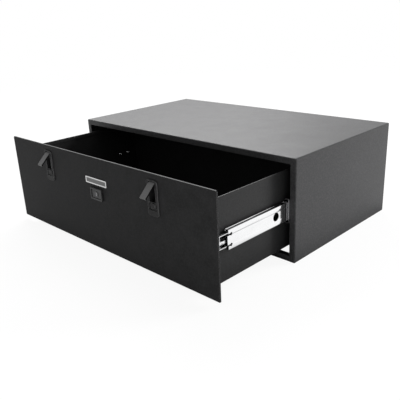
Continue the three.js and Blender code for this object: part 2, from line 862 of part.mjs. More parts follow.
function lockNut() {
  const sides = 6;
  const corner = lockNutWidth / Math.cos(Math.PI / sides) / 2;
  const front = panel.back + seatGap;
  const hex = new THREE.CylinderGeometry(corner, corner, lockNutThickness, sides);
  const nut = hex.translate(0, front + lockNutThickness / 2, lock.z);
  const bore = barrelDiameter + 2 * seatGap;
  return cutFrom(nut, [bar("y", bore, [front - 1, front + lockNutThickness + 1], [0, lock.z])]);
}

// Plug with its keyway, and a square end that drives the cam
function lockPlug() {
  const face = panel.front - seatGap - lockProud + lockRecess - plugSink;
  const round = bar("y", plugDiameter, [face, lock.camFront - seatGap], [0, 0], 28);
  const end = camSquare / 2;
  const square = block([-end, end], [lock.camFront - 1, lock.camFront + camThickness], [-end, end]);
  const keyway = block(
    [-keywayWidth / 2, keywayWidth / 2],
    [face - 1, face + keywayDepth],
    [-keywayHeight / 2, keywayHeight / 2],
  );
  return cutFrom(joined([round, square]), [keyway]);
}

// Cam: at rest it lies across, and a quarter turn stands it up behind the top lip
function lockCam() {
  const reach = opening.top + camOverlap - lock.z;
  const half = camWidth / 2;
  const shape = new THREE.Shape();
  shape.absarc(0, 0, half + camShoulder, 0.25 * Math.PI, 1.75 * Math.PI, false);
  shape.lineTo(half + camNeck, -half);
  shape.lineTo(reach - half, -half);
  shape.absarc(reach - half, 0, half, -Math.PI / 2, Math.PI / 2, false);
  shape.lineTo(half + camNeck, half);
  const plate = alongY(shape, [lock.camFront, lock.camFront + camThickness], 0, 6);
  const end = camSquare / 2 + seatGap;
  const through = [lock.camFront - 1, lock.camFront + camThickness + 1];
  return cutFrom(plate, [block([-end, end], through, [-end, end])]);
}

function camScrew() {
  const front = lock.camFront + camThickness + seatGap;
  return bar("y", camScrewWidth, [front, front + camScrewHeight], [0, 0], 6);
}

function nameplate() {
  const half = nameplateWidth / 2;
  const low = nameplateZ - nameplateHeight / 2;
  const high = nameplateZ + nameplateHeight / 2;
  const back = panel.front - seatGap;
  const outline = roundedRectangle(-half, half, low, high, nameplateCorner);
  return alongY(outline, [back - nameplateThickness, back], nameplateBevel, 3);
}

place(assembly, "housing_shell", housingShell(), blackSteel);
place(assembly, "housing_back", housingBack(), blackSteel);
place(assembly, "front_bottom_rail", baseRail(0, frontRailDepth), blackSteel);
place(assembly, "rear_bottom_rail", baseRail(rearRail.back, rearRail.front), blackSteel);
place(assembly, "drawer_tray", drawerTray(), darkSteel);
place(assembly, "drawer_back", drawerBack(), darkSteel);
place(assembly, "foot_angle", footAngle(), darkSteel);
place(assembly, "front_panel", frontPanel(), blackSteel);
place(assembly, "nameplate", nameplate(), nameplateAluminium);
place(assembly, "lock_case", lockCase(), castBlack);
place(assembly, "lock_nut", lockNut(), zincSteel);

const lockTurn = new THREE.Group();
lockTurn.position.set(0, 0, lock.z);
assembly.add(lockTurn);
place(lockTurn, "lock_plug", lockPlug(), lockChrome);
place(lockTurn, "lock_cam", lockCam(), zincSteel);
place(lockTurn, "cam_screw", camScrew(), zincSteel);

for (const [side, sign] of [["left", -1], ["right", 1]]) {
  const runner = new THREE.Group();
  runner.scale.x = sign;
  assembly.add(runner);
  place(runner, `slide_bracket_${side}`, slideBracket(), darkSteel);
  place(runner, `corner_angle_${side}`, cornerAngle(), darkSteel);
  place(runner, `outer_slide_${side}`, outerMember(), zincSteel);
  place(runner, `middle_slide_${side}`, middleMember(), zincSteel);
  place(runner, `inner_slide_${side}`, innerMember(), zincSteel);
  place(runner, `outer_ball_cage_${side}`, outerCage(), ballSteel);
  place(runner, `inner_ball_cage_${side}`, innerCage(), ballSteel);
  inner.screws.forEach((inset, i) => {
    place(runner, `slide_screw_${side}_${i + 1}`, slideScrew(inset), zincSteel);
  });

  const latchGroup = new THREE.Group();
  latchGroup.position.x = (sign * latchSpacing) / 2;
  assembly.add(latchGroup);
  place(latchGroup, `latch_pan_${side}`, latchPan(), castBlack);
  place(latchGroup, `latch_clamp_${side}`, latchClamp(), zincSteel);
  place(latchGroup, `latch_pin_${side}`, latchPin(), zincSteel);
  place(latchGroup, `latch_button_${side}`, latchButton(), castBlack);
  const swing = new THREE.Group();
  swing.position.set(0, latch.pinY, latch.pinZ);
  swing.rotation.x = -leverOpenAngle * degrees;
  latchGroup.add(swing);
  place(swing, `latch_lever_${side}`, latchLever(), castBlack);
  place(swing, `latch_hook_${side}`, latchHook(), zincSteel);
}

export default safe;
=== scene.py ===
import math

import bmesh
import bpy
from mathutils import Euler, Matrix, Vector


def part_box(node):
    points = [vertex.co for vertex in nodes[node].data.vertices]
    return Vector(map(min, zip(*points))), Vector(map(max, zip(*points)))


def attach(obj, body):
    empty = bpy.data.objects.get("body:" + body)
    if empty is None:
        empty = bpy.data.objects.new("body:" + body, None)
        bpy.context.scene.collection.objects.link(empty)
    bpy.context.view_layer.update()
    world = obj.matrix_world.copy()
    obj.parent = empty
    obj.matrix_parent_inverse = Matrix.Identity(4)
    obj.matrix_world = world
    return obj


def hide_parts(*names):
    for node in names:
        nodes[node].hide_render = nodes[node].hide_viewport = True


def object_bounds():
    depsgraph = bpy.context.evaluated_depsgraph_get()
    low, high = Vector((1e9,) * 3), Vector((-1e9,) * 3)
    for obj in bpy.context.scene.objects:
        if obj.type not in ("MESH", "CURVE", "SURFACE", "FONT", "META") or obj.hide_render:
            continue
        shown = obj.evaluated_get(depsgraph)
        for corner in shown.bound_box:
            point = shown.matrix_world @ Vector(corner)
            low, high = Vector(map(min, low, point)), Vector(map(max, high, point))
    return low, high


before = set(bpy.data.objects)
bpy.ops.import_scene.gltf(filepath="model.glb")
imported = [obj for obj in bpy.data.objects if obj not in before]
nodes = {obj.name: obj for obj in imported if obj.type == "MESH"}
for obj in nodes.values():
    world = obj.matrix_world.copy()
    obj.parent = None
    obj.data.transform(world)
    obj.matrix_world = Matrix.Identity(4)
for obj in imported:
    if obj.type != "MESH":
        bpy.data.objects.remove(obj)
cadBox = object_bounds()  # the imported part's own box, before anything is dressed

mm = 0.001
sides = ("left", "right")
foldAngle = math.radians(32)  # a fold sharper than this keeps a hard edge
squarely = 0.9  # a face looks along an axis when its normal has more than this share of it


# Small helpers for node trees

def addNode(tree, kind, spot, **values):
    # each value goes to the node's socket of that name, or else to its setting
    node = tree.nodes.new(kind)
    node.location = spot
    for name, value in values.items():
        if name in node.inputs:
            node.inputs[name].default_value = value
        else:
            setattr(node, name, value)
    return node


def wire(tree, source, target):
    tree.links.new(source, target)


def mathNode(tree, spot, operation, *terms, clamp=False):
    # each term is a number, or the socket that gives it
    node = addNode(tree, "ShaderNodeMath", spot, operation=operation, use_clamp=clamp)
    for socket, term in zip(node.inputs, terms):
        if isinstance(term, (int, float)):
            socket.default_value = term
        else:
            wire(tree, term, socket)
    return node.outputs["Value"]


def mapNode(tree, spot, source, fromRange=(0.0, 1.0), toRange=(0.0, 1.0), kind="LINEAR"):
    # the source, spread from one range over another
    node = addNode(tree, "ShaderNodeMapRange", spot, interpolation_type=kind)
    for label, value in zip(("From Min", "From Max", "To Min", "To Max"), (*fromRange, *toRange)):
        node.inputs[label].default_value = value
    wire(tree, source, node.inputs["Value"])
    return node.outputs["Result"]


def newGroup(name, inputs, outputs):
    tree = bpy.data.node_groups.new(name, "ShaderNodeTree")
    for label, value in inputs.items():
        socket = tree.interface.new_socket(name=label, in_out="INPUT", socket_type="NodeSocketFloat")
        socket.default_value = value
    for label, kind in outputs.items():
        tree.interface.new_socket(name=label, in_out="OUTPUT", socket_type=kind)
    inNode = addNode(tree, "NodeGroupInput", (-1200, 0))
    outNode = addNode(tree, "NodeGroupOutput", (700, 0))
    return tree, inNode, outNode


def placeGroup(tree, group, spot, values):
    node = tree.nodes.new("ShaderNodeGroup")
    node.node_tree = group
    node.location = spot
    for name, value in values.items():
        node.inputs[name].default_value = value
    return node


# Effects that several finishes share

grainForm = {
    "fine": {"Detail": 3.0, "Roughness": 0.6},
    "cells": {"feature": "SMOOTH_F1", "Smoothness": 0.6},
    "coarse": {"Detail": 4.0, "Roughness": 0.65},
    "fleckRange": (0.42, 0.72),
}


def makeGrainGroup(form):
    # the orange-peel grain of a textured powder coat, and lighter flecks over it
    tree, inNode, outNode = newGroup(
        "powderGrain",
        {"Scale": 700.0, "Fleck Scale": 260.0},
        {"Height": "NodeSocketFloat", "Fleck": "NodeSocketFloat"},
    )
    coords = addNode(tree, "ShaderNodeTexCoord", (-900, -200))
    fine = addNode(tree, "ShaderNodeTexNoise", (-600, 150), **form["fine"])
    cells = addNode(tree, "ShaderNodeTexVoronoi", (-600, -150), **form["cells"])
    coarse = addNode(tree, "ShaderNodeTexNoise", (-600, -450), **form["coarse"])
    for texture, scale in ((fine, "Scale"), (cells, "Scale"), (coarse, "Fleck Scale")):
        wire(tree, coords.outputs["Object"], texture.inputs["Vector"])
        wire(tree, inNode.outputs[scale], texture.inputs["Scale"])
    height = mathNode(tree, (-300, 50), "SUBTRACT", fine.outputs["Fac"], cells.outputs["Distance"])
    fleck = mapNode(tree, (-300, -350), coarse.outputs["Fac"], fromRange=form["fleckRange"])
    wire(tree, height, outNode.inputs["Height"])
    wire(tree, fleck, outNode.inputs["Fleck"])
    return tree


handlingForm = {
    "noise": {"Detail": 5.0, "Roughness": 0.65, "Distortion": 0.4},
    "patchRange": (0.35, 0.68),
}


def makeHandlingGroup(form):
    # broad, faint patches where a surface has been wiped or touched
    tree, inNode, outNode = newGroup("handling", {"Scale": 9.0}, {"Mask": "NodeSocketFloat"})
    coords = addNode(tree, "ShaderNodeTexCoord", (-900, -200))
    wide = addNode(tree, "ShaderNodeTexNoise", (-600, 100), **form["noise"])
    wire(tree, coords.outputs["Object"], wide.inputs["Vector"])
    wire(tree, inNode.outputs["Scale"], wide.inputs["Scale"])
    patch = mapNode(tree, (-200, 0), wide.outputs["Fac"], fromRange=form["patchRange"])
    wire(tree, patch, outNode.inputs["Mask"])
    return tree


edgeForm = {
    "samples": 6,
    "noise": {"Scale": 120.0, "Detail": 3.0},
    # how far the rounded normal still follows the flat one, where the line starts and where it is full
    "turnedRange": (0.995, 0.88),
}


def makeEdgeGroup(form):
    # rounded normals over a fold, and a mask of the thin line along it where a highlight is painted
    tree, inNode, outNode = newGroup(
        "foldedEdge",
        {"Radius": 1.2 * mm, "Break Up": 0.5},
        {"Mask": "NodeSocketFloat", "Normal": "NodeSocketVector"},
    )
    soft = addNode(tree, "ShaderNodeBevel", (-600, 150), samples=form["samples"])
    plain = addNode(tree, "ShaderNodeNewGeometry", (-600, -100))
    coords = addNode(tree, "ShaderNodeTexCoord", (-900, -350))
    noise = addNode(tree, "ShaderNodeTexNoise", (-600, -350), **form["noise"])
    facing = addNode(tree, "ShaderNodeVectorMath", (-350, 50), operation="DOT_PRODUCT")
    wire(tree, inNode.outputs["Radius"], soft.inputs["Radius"])
    wire(tree, soft.outputs["Normal"], facing.inputs[0])
    wire(tree, plain.outputs["Normal"], facing.inputs[1])
    wire(tree, coords.outputs["Object"], noise.inputs["Vector"])
    turned = mapNode(tree, (-120, 50), facing.outputs["Value"], fromRange=form["turnedRange"])
    uneven = mathNode(tree, (-120, -250), "MULTIPLY", noise.outputs["Fac"], inNode.outputs["Break Up"])
    kept = mathNode(tree, (120, -250), "SUBTRACT", 1.0, uneven, clamp=True)
    mask = mathNode(tree, (350, 0), "MULTIPLY", turned, kept)
    wire(tree, mask, outNode.inputs["Mask"])
    wire(tree, soft.outputs["Normal"], outNode.inputs["Normal"])
    return tree


streakForm = {
    "lines": {"Detail": 3.0, "Roughness": 0.55},
    "cloud": {"Detail": 3.0, "Roughness": 0.6},
}


def makeStreakGroup(form):
    # fine rolling lines along the length of a strip of plated steel, and cloudier plating over them
    tree, inNode, outNode = newGroup(
        "rollingStreak",
        {"Scale": 900.0, "Stretch X": 1.0, "Stretch Y": 0.02, "Cloud Scale": 45.0},
        {"Height": "NodeSocketFloat", "Streak": "NodeSocketFloat", "Cloud": "NodeSocketFloat"},
    )
    coords = addNode(tree, "ShaderNodeTexCoord", (-900, -200))
    pulled = addNode(tree, "ShaderNodeCombineXYZ", (-900, -450), Z=1.0)
    scaled = addNode(tree, "ShaderNodeVectorMath", (-650, -200), operation="MULTIPLY")
    lines = addNode(tree, "ShaderNodeTexNoise", (-400, 100), **form["lines"])
    cloud = addNode(tree, "ShaderNodeTexNoise", (-400, -250), **form["cloud"])
    for axis in "XY":
        wire(tree, inNode.outputs[f"Stretch {axis}"], pulled.inputs[axis])
    wire(tree, coords.outputs["Object"], scaled.inputs[0])
    wire(tree, pulled.outputs["Vector"], scaled.inputs[1])
    wire(tree, scaled.outputs["Vector"], lines.inputs["Vector"])
    wire(tree, inNode.outputs["Scale"], lines.inputs["Scale"])
    wire(tree, coords.outputs["Object"], cloud.inputs["Vector"])
    wire(tree, inNode.outputs["Cloud Scale"], cloud.inputs["Scale"])
    for label, source in (("Height", lines), ("Streak", lines), ("Cloud", cloud)):
        wire(tree, source.outputs["Fac"], outNode.inputs[label])
    return tree


grainGroup = makeGrainGroup(grainForm)
handlingGroup = makeHandlingGroup(handlingForm)
edgeGroup = makeEdgeGroup(edgeForm)
streakGroup = makeStreakGroup(streakForm)
print("shared effects made")


# Finishes

def newMaterial(name):
    material = bpy.data.materials.new(name)
    material.use_nodes = True
    tree = material.node_tree
    tree.nodes.clear()
    surface = addNode(tree, "ShaderNodeBsdfPrincipled", (600, 0))
    output = addNode(tree, "ShaderNodeOutputMaterial", (900, 0))
    wire(tree, surface.outputs["BSDF"], output.inputs["Surface"])
    return material, tree, surface


mixColourSockets = {"low": 6, "high": 7, "result": 2}  # a mix node's colour sockets come after its others


def mixColour(tree, spot, mask, low, high):
    # low and high are each a colour, or the socket that gives it
    mix = addNode(tree, "ShaderNodeMix", spot, data_type="RGBA")
    for end, value in (("low", low), ("high", high)):
        socket = mix.inputs[mixColourSockets[end]]
        if isinstance(value, tuple):
            socket.default_value = (*value, 1.0)
        else:
            wire(tree, value, socket)
    wire(tree, mask, mix.inputs[0])
    return mix.outputs[mixColourSockets["result"]]


def addBump(tree, surface, height, normal, strength, distance):
    bump = addNode(tree, "ShaderNodeBump", (250, -350), Strength=strength, Distance=distance)
    wire(tree, height, bump.inputs["Height"])
    wire(tree, normal, bump.inputs["Normal"])
    wire(tree, bump.outputs["Normal"], surface.inputs["Normal"])


# faces at the ends of a piece: the axis they look along, and how far from the origin they lie, both as shares
# of the piece's box, from where the mask starts to where it is full
crestPlace = {"axis": "Z", "origin": 0.0, "reach": (0.96, 0.98)}  # the top edge, where a highlight is painted, measured from the bottom
flankPlace = {"axis": "X", "origin": 0.5, "reach": (0.33, 0.38)}  # the sides, painted pale as a highlight on the pans and near black as shade on the levers, measured from the middle
facingRange = (0.7, 0.9)  # the normal's share of the axis, from a face left out to one that counts


def beyondMask(tree, spot, source, axis, origin, reach):
    # 0 where the source lies nearer to the origin than the reach's first value, 1 where farther than its last
    x, y = spot
    apart = addNode(tree, "ShaderNodeSeparateXYZ", spot)
    wire(tree, source, apart.inputs["Vector"])
    shifted = mathNode(tree, (x + 200, y), "SUBTRACT", apart.outputs[axis], origin)
    distance = mathNode(tree, (x + 400, y), "ABSOLUTE", shifted)
    return mapNode(tree, (x + 600, y), distance, fromRange=reach)


def outerFaceMask(tree, spot, place):
    # 1 on the faces that look along the place's axis and lie past its reach
    x, y = spot
    axis = place["axis"]
    coords = addNode(tree, "ShaderNodeTexCoord", spot)
    facing = beyondMask(tree, (x + 200, y), coords.outputs["Normal"], axis, 0.0, facingRange)
    within = coords.outputs["Generated"]
    outer = beyondMask(tree, (x + 200, y + 300), within, axis, place["origin"], place["reach"])
    return mathNode(tree, (x + 1000, y), "MULTIPLY", facing, outer)


def powderCoat(name, look):
    material, tree, surface = newMaterial(name)
    grainValues = {"Scale": look["grainScale"], "Fleck Scale": look["fleckScale"]}
    edgeValues = {"Radius": look["edgeRadius"], "Break Up": look["edgeBreakUp"]}
    grain = placeGroup(tree, grainGroup, (-900, 200), grainValues)
    patch = placeGroup(tree, handlingGroup, (-900, -100), {"Scale": look["patchScale"]})
    edge = placeGroup(tree, edgeGroup, (-900, -350), edgeValues)
    colour = mixColour(tree, (-700, 250), grain.outputs["Fleck"], look["colour"], look["fleckColour"])
    dust = mathNode(tree, (-700, 0), "MULTIPLY", patch.outputs["Mask"], look["dustAmount"])
    colour = mixColour(tree, (-500, 250), dust, colour, look["dustColour"])
    # a painted highlight along the folds, broken up by noise
    edgeHighlight = mathNode(tree, (-500, -100), "MULTIPLY", edge.outputs["Mask"], look["edgeHighlightAmount"])
    colour = mixColour(tree, (-200, 250), edgeHighlight, colour, look["edgeHighlightColour"])
    rough = mapNode(tree, (-500, -300), patch.outputs["Mask"], toRange=look["roughness"])
    # a highlight painted on the top edge, where light from above catches it
    if "topEdgeHighlightColour" in look:
        crest = outerFaceMask(tree, (-900, 1300), crestPlace)
        colour = mixColour(tree, (0, 250), crest, colour, look["topEdgeHighlightColour"])
    # painted light on the sides: a highlight on the pans, shade on the levers
    if "flankHighlightAndShadeColour" in look:
        flank = outerFaceMask(tree, (-900, 700), flankPlace)
        colour = mixColour(tree, (50, 400), flank, colour, look["flankHighlightAndShadeColour"])
        spread = mapNode(tree, (-150, -450), flank, toRange=(0.0, look["flankRoughness"]))
        rough = mathNode(tree, (50, -150), "MAXIMUM", rough, spread)
    wire(tree, colour, surface.inputs["Base Color"])
    wire(tree, rough, surface.inputs["Roughness"])
    relief = (look["grainDepth"], look["grainHeight"])
    addBump(tree, surface, grain.outputs["Height"], edge.outputs["Normal"], *relief)
    surface.inputs["Specular IOR Level"].default_value = look["gloss"]
    return material


def platedSteel(name, look):
    material, tree, surface = newMaterial(name)
    streakValues = {
        "Scale": look["streakScale"],
        "Stretch X": look["stretch"][0],
        "Stretch Y": look["stretch"][1],
        "Cloud Scale": look["cloudScale"],
    }
    streak = placeGroup(tree, streakGroup, (-900, 200), streakValues)
    edge = placeGroup(tree, edgeGroup, (-900, -350), {"Radius": look["edgeRadius"]})
    colour = mixColour(tree, (-500, 250), streak.outputs["Cloud"], look["colour"], look["cloudColour"])
    rough = mapNode(tree, (-500, -100), streak.outputs["Streak"], toRange=look["roughness"])
    wire(tree, colour, surface.inputs["Base Color"])
    wire(tree, rough, surface.inputs["Roughness"])
    relief = (look["streakDepth"], look["streakHeight"])
    addBump(tree, surface, streak.outputs["Height"], edge.outputs["Normal"], *relief)
    surface.inputs["Metallic"].default_value = 1.0
    return material


housingLook = {
    "colour": (0.034, 0.034, 0.035),
    "fleckColour": (0.062, 0.062, 0.064),
    # colour and share of the highlight painted along the folds
    "edgeHighlightColour": (0.11, 0.11, 0.113),
    "edgeHighlightAmount": 0.5,
    "edgeBreakUp": 0.6,
    "edgeRadius": 0.9 * mm,
    "grainScale": 750.0,
    "fleckScale": 320.0,
    "grainDepth": 0.3,
    "grainHeight": 0.2 * mm,
    "patchScale": 13.0,
    "dustColour": (0.075, 0.075, 0.076),
    "dustAmount": 0.12,
    "roughness": (0.415, 0.495),
    "gloss": 0.175,
}

# what the front panel and the pans set in it share
frontLook = dict(
    housingLook,
    colour=(0.016, 0.016, 0.0163),
    fleckColour=(0.028, 0.028, 0.0285),
    edgeHighlightColour=(0.35, 0.35, 0.353),
    edgeHighlightAmount=0.9,
    edgeRadius=0.7 * mm,
    patchScale=24.0,
    dustColour=(0.042, 0.042, 0.0425),
    dustAmount=0.55,
    roughness=(0.46, 0.64),
    gloss=0.041,
)

panelLook = dict(frontLook, topEdgeHighlightColour=(0.13, 0.13, 0.131))  # with a highlight painted on its top edge

drawerLook = dict(
    housingLook,
    colour=(0.02, 0.02, 0.0204),
    fleckColour=(0.032, 0.032, 0.0325),
    edgeHighlightAmount=0.6,
    fleckScale=500.0,
    grainDepth=0.1,
    dustAmount=0.03,
    roughness=(0.3, 0.38),
    gloss=0.12,
)

# the pans' sides are painted pale as a highlight
panLook = dict(
    frontLook,
    colour=(0.018, 0.018, 0.0183),
    fleckColour=(0.03, 0.03, 0.0305),
    edgeRadius=0.5 * mm,
    grainScale=1800.0,
    fleckScale=900.0,
    grainDepth=0.12,
    roughness=(0.4, 0.5),
    gloss=0.07,
    flankHighlightAndShadeColour=(0.13, 0.13, 0.131),
    flankRoughness=0.3,
)

# what the latch levers and the lock's case share
smallCastLook = dict(
    housingLook,
    edgeRadius=0.4 * mm,
    grainScale=1800.0,
    fleckScale=900.0,
    grainDepth=0.15,
    roughness=(0.3, 0.4),
    gloss=0.2,
)

# the levers' sides are painted near black as shade
leverLook = dict(
    smallCastLook,
    colour=(0.1, 0.1, 0.101),
    fleckColour=(0.14, 0.14, 0.141),
    flankHighlightAndShadeColour=(0.004, 0.004, 0.004),
    flankRoughness=0.95,
)

lockLook = dict(smallCastLook, colour=(0.028, 0.028, 0.0285), fleckColour=(0.045, 0.045, 0.046))

zincLook = {
    "colour": (0.88, 0.882, 0.886),
    "cloudColour": (0.78, 0.784, 0.792),
    "roughness": (0.07, 0.19),
    "streakScale": 1100.0,
    "stretch": (1.0, 0.012),
    "streakDepth": 0.1,
    "streakHeight": 0.1 * mm,
    "cloudScale": 60.0,
    "edgeRadius": 0.06 * mm,
}

cutLook = dict(zincLook, colour=(0.4, 0.4, 0.41), cloudColour=(0.3, 0.3, 0.31), roughness=(0.25, 0.4))
ballLook = dict(zincLook, colour=(0.6, 0.6, 0.62), cloudColour=(0.5, 0.5, 0.52), roughness=(0.12, 0.2))

chromeLook = dict(
    zincLook,
    colour=(0.055, 0.055, 0.056),
    cloudColour=(0.04, 0.04, 0.041),
    roughness=(0.24, 0.36),
)

plateLook = dict(
    zincLook,
    colour=(0.6, 0.6, 0.6),
    cloudColour=(0.5, 0.5, 0.5),
    roughness=(0.3, 0.42),
    streakScale=1600.0,
    stretch=(0.02, 1.0),
)

fieldLook = dict(
    plateLook,
    colour=(0.14, 0.14, 0.14),
    cloudColour=(0.1, 0.1, 0.1),
    roughness=(0.38, 0.5),
)

housingCoat = powderCoat("housingCoat", housingLook)
panelCoat = powderCoat("panelCoat", panelLook)
drawerCoat = powderCoat("drawerCoat", drawerLook)
panCoat = powderCoat("panCoat", panLook)
castMetal = powderCoat("castMetal", leverLook)
lockCoat = powderCoat("lockCoat", lockLook)
zincPlate = platedSteel("zincPlate", zincLook)
cutEdge = platedSteel("cutEdge", cutLook)
ballSteel = platedSteel("ballSteel", ballLook)
darkChrome = platedSteel("darkChrome", chromeLook)
brushedPlate = platedSteel("brushedPlate", plateLook)
plateField = platedSteel("plateField", fieldLook)
print("finishes made")


# Mesh helpers for the pieces made here

spare = 1.0 * mm  # how far a cutter runs past what it cuts


def linkPiece(name, mesh, body, slot, replaced, *materials):
    piece = bpy.data.objects.new(name, mesh)
    bpy.context.scene.collection.objects.link(piece)
    for material in materials:
        mesh.materials.append(material)
    mesh.shade_smooth()
    mesh.set_sharp_from_angle(angle=foldAngle)
    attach(piece, body)
    if replaced:
        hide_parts(*replaced)


def meshFrom(name, bm):
    bmesh.ops.recalc_face_normals(bm, faces=bm.faces)
    mesh = bpy.data.meshes.new(name)
    bm.to_mesh(mesh)
    bm.free()
    return mesh


def loft(bm, loops):
    # walls between loops of the same count, and a cap at each end
    rings = [[bm.verts.new(point) for point in loop] for loop in loops]
    count = len(rings[0])
    for low, high in zip(rings, rings[1:]):
        for i in range(count):
            j = (i + 1) % count
            bm.faces.new((low[i], low[j], high[j], high[i]))
    bm.faces.new(rings[0][::-1])
    bm.faces.new(rings[-1])


def carved(mesh, cutters, operation="DIFFERENCE"):
    # the mesh after an exact boolean with each cutter
    work = bpy.data.objects.new("carving", mesh)
    bpy.context.scene.collection.objects.link(work)
    tools = []
    for cutter in cutters:
        tool = bpy.data.objects.new("cutter", cutter)
        bpy.context.scene.collection.objects.link(tool)
        step = work.modifiers.new("cut", "BOOLEAN")
        step.operation = operation
        step.solver = "EXACT"
        step.object = tool
        tools.append(tool)
    graph = bpy.context.evaluated_depsgraph_get()
    result = bpy.data.meshes.new_from_object(work.evaluated_get(graph))
    for used in [work, *tools]:
        bpy.data.objects.remove(used)
    result.name = mesh.name
    return result


def blockMesh(low, high):
    bm = bmesh.new()
    size = [b - a for a, b in zip(low, high)]
    middle = [(a + b) / 2 for a, b in zip(low, high)]
    placed = Matrix.Translation(middle) @ Matrix.Diagonal((*size, 1.0))
    bmesh.ops.create_cube(bm, size=1.0, matrix=placed)
    return meshFrom("block", bm)


def barAlongX(diameter, x0, x1, y, z, sideCount):
    bm = bmesh.new()
    turn = Matrix.Translation(((x0 + x1) / 2, y, z)) @ Matrix.Rotation(math.pi / 2, 4, "Y")
    bmesh.ops.create_cone(
        bm, cap_ends=True, segments=sideCount, radius1=diameter / 2, radius2=diameter / 2,
        depth=abs(x1 - x0), matrix=turn,
    )
    return meshFrom("bar", bm)


# Slides: the three members of each, folded with round bends, ball grooves and creases

# A form's place is its distance from the drawer's side. A race or rib rises away from the slide's middle line
# on the outer and the middle member. On the inner one, whose flanges are followed the other way, it rises
# towards that line.
slideLook = {
    "drawerFace": 283.0 * mm,  # where the inner member lies on the drawer's side
    "axis": -100.0 * mm,       # height of the slide's middle line
    "length": 305.0 * mm,
    "sheet": 1.2 * mm,
    "bend": 0.8 * mm,          # of the sheet's middle, so it stays above half the sheet
    "crease": {"at": 8.4 * mm, "slope": 1.5 * mm, "depth": 0.42 * mm},
    "lip": 2.6 * mm,
    "outer": {
        "front": -170.0 * mm, "half": 22.85 * mm, "end": 4.0 * mm, "web": 12.1 * mm,
        "forms": [{"at": 8.2 * mm, "half": 1.6 * mm, "rise": 0.3 * mm, "rib": False}],
    },
    "middle": {
        "front": -329.5 * mm, "half": 17.5 * mm, "end": 2.2 * mm, "web": 9.6 * mm,
        "forms": [
            {"at": 3.8 * mm, "half": 0.75 * mm, "rise": 0.7 * mm, "rib": True},
            {"at": 6.4 * mm, "half": 1.6 * mm, "rise": 0.3 * mm, "rib": False},
        ],
    },
    "inner": {
        "front": -362.3 * mm, "half": 11.7 * mm, "end": 7.5 * mm, "web": 0.6 * mm,
        "forms": [
            {"at": 2.6 * mm, "half": 0.8 * mm, "rise": 0.6 * mm, "rib": True},
            {"at": 5.5 * mm, "half": 1.6 * mm, "rise": 0.3 * mm, "rib": False},
        ],
    },
    "tongue": 2.0 * mm,
    "slit": {"spacing": 18.6 * mm, "width": 3.1 * mm, "length": 6.8 * mm, "endHole": 5.6 * mm},
    "accessHole": 16.0 * mm,
    "accessInset": 124.5 * mm,  # from either end of the middle member
    "innerAccess": 170.3 * mm,  # from the front of the inner one
    "slot": {"inset": 30.0 * mm, "length": 10.0 * mm, "width": 6.0 * mm},
    "screws": [54.0 * mm, 130.0 * mm, 260.0 * mm, 284.0 * mm],
    "screwBore": 4.5 * mm,
    "roundness": {"accessHole": 40, "slot": 24, "small": 20},  # sides of the holes' cutters
}

bendShare = 0.48            # the most of a straight stretch that the bend at one end may take
shortStretch = 1.0 * mm     # a straight stretch shorter than this holds no form
onLine = 0.001 * mm         # a form's centre this close to a stretch lies on it
sharpestMitre = 0.4         # limits how far a corner of the sheet may reach out


def roundedLine(corners, radius, steps=5):
    # a bent line in the plane, with an arc of the given radius at each inner corner
    line = [Vector(corners[0])]
    for before, here, after in zip(corners, corners[1:], corners[2:]):
        here = Vector(here)
        into = Vector(before) - here
        out = Vector(after) - here
        reach = min(radius, bendShare * into.length, bendShare * out.length)
        start, end = here + into.normalized() * reach, here + out.normalized() * reach
        for i in range(steps + 1):
            t = i / steps
            line.append(start * (1 - t) ** 2 + here * 2 * t * (1 - t) + end * t ** 2)
    line.append(Vector(corners[-1]))
    return line


def formed(line, forms, steps=8):
    # the line with a rounded form in each straight stretch that holds the form's centre: a race presses the
    # whole sheet to the line's left, a rib only stands on its left face, so each point carries a rib's height
    made = []
    for before, after in zip(line, line[1:]):
        made.append((before, 0.0))
        reach = (after - before).length
        if reach < shortStretch:
            continue
        along = (after - before) / reach
        leftward = Vector((-along.y, along.x))
        found = []
        for centre, form in forms:
            away = centre - before
            at = away.dot(along)
            if abs(away.cross(along)) < onLine and form["half"] < at < reach - form["half"]:
                found.append((at, form))
        for at, form in sorted(found, key=lambda pair: pair[0]):
            for i in range(steps + 1):
                here = before + along * (at + form["half"] * (2 * i / steps - 1))
                height = form["rise"] * (1 - math.cos(2 * math.pi * i / steps)) / 2
                if form["rib"]:
                    made.append((here, height))
                else:
                    made.append((here + leftward * height, 0.0))
    made.append((line[-1], 0.0))
    return made


def sheetOutline(line, thickness):
    # both faces of a sheet whose middle follows the line, the left one with its ribs
    left, right = [], []
    points = [point for point, rib in line]
    for i, (point, rib) in enumerate(line):
        into = (point - points[i - 1]).normalized() if i else (points[1] - point).normalized()
        out = (points[i + 1] - point).normalized() if i < len(line) - 1 else into
        along = (into + out).normalized()
        reach = thickness / 2 / max(sharpestMitre, along.dot(into))
        across = Vector((-along.y, along.x))
        left.append(point + across * (reach + rib))
        right.append(point - across * reach)
    return left, right


def memberLine(part, look, lipped=True):
    # from the free end of the upper flange, over its ball race and the web, to its mirror below
    level = part["half"] - look["sheet"] / 2
    upper = [(part["end"], level), (part["web"], level)]
    if lipped:
        upper.insert(0, (part["end"], part["half"] - look["lip"]))
    line = roundedLine(upper + [(x, -z) for x, z in reversed(upper)], look["bend"])
    forms = [(Vector((form["at"], way * level)), form) for form in part["forms"] for way in (1, -1)]
    return formed(line, forms)


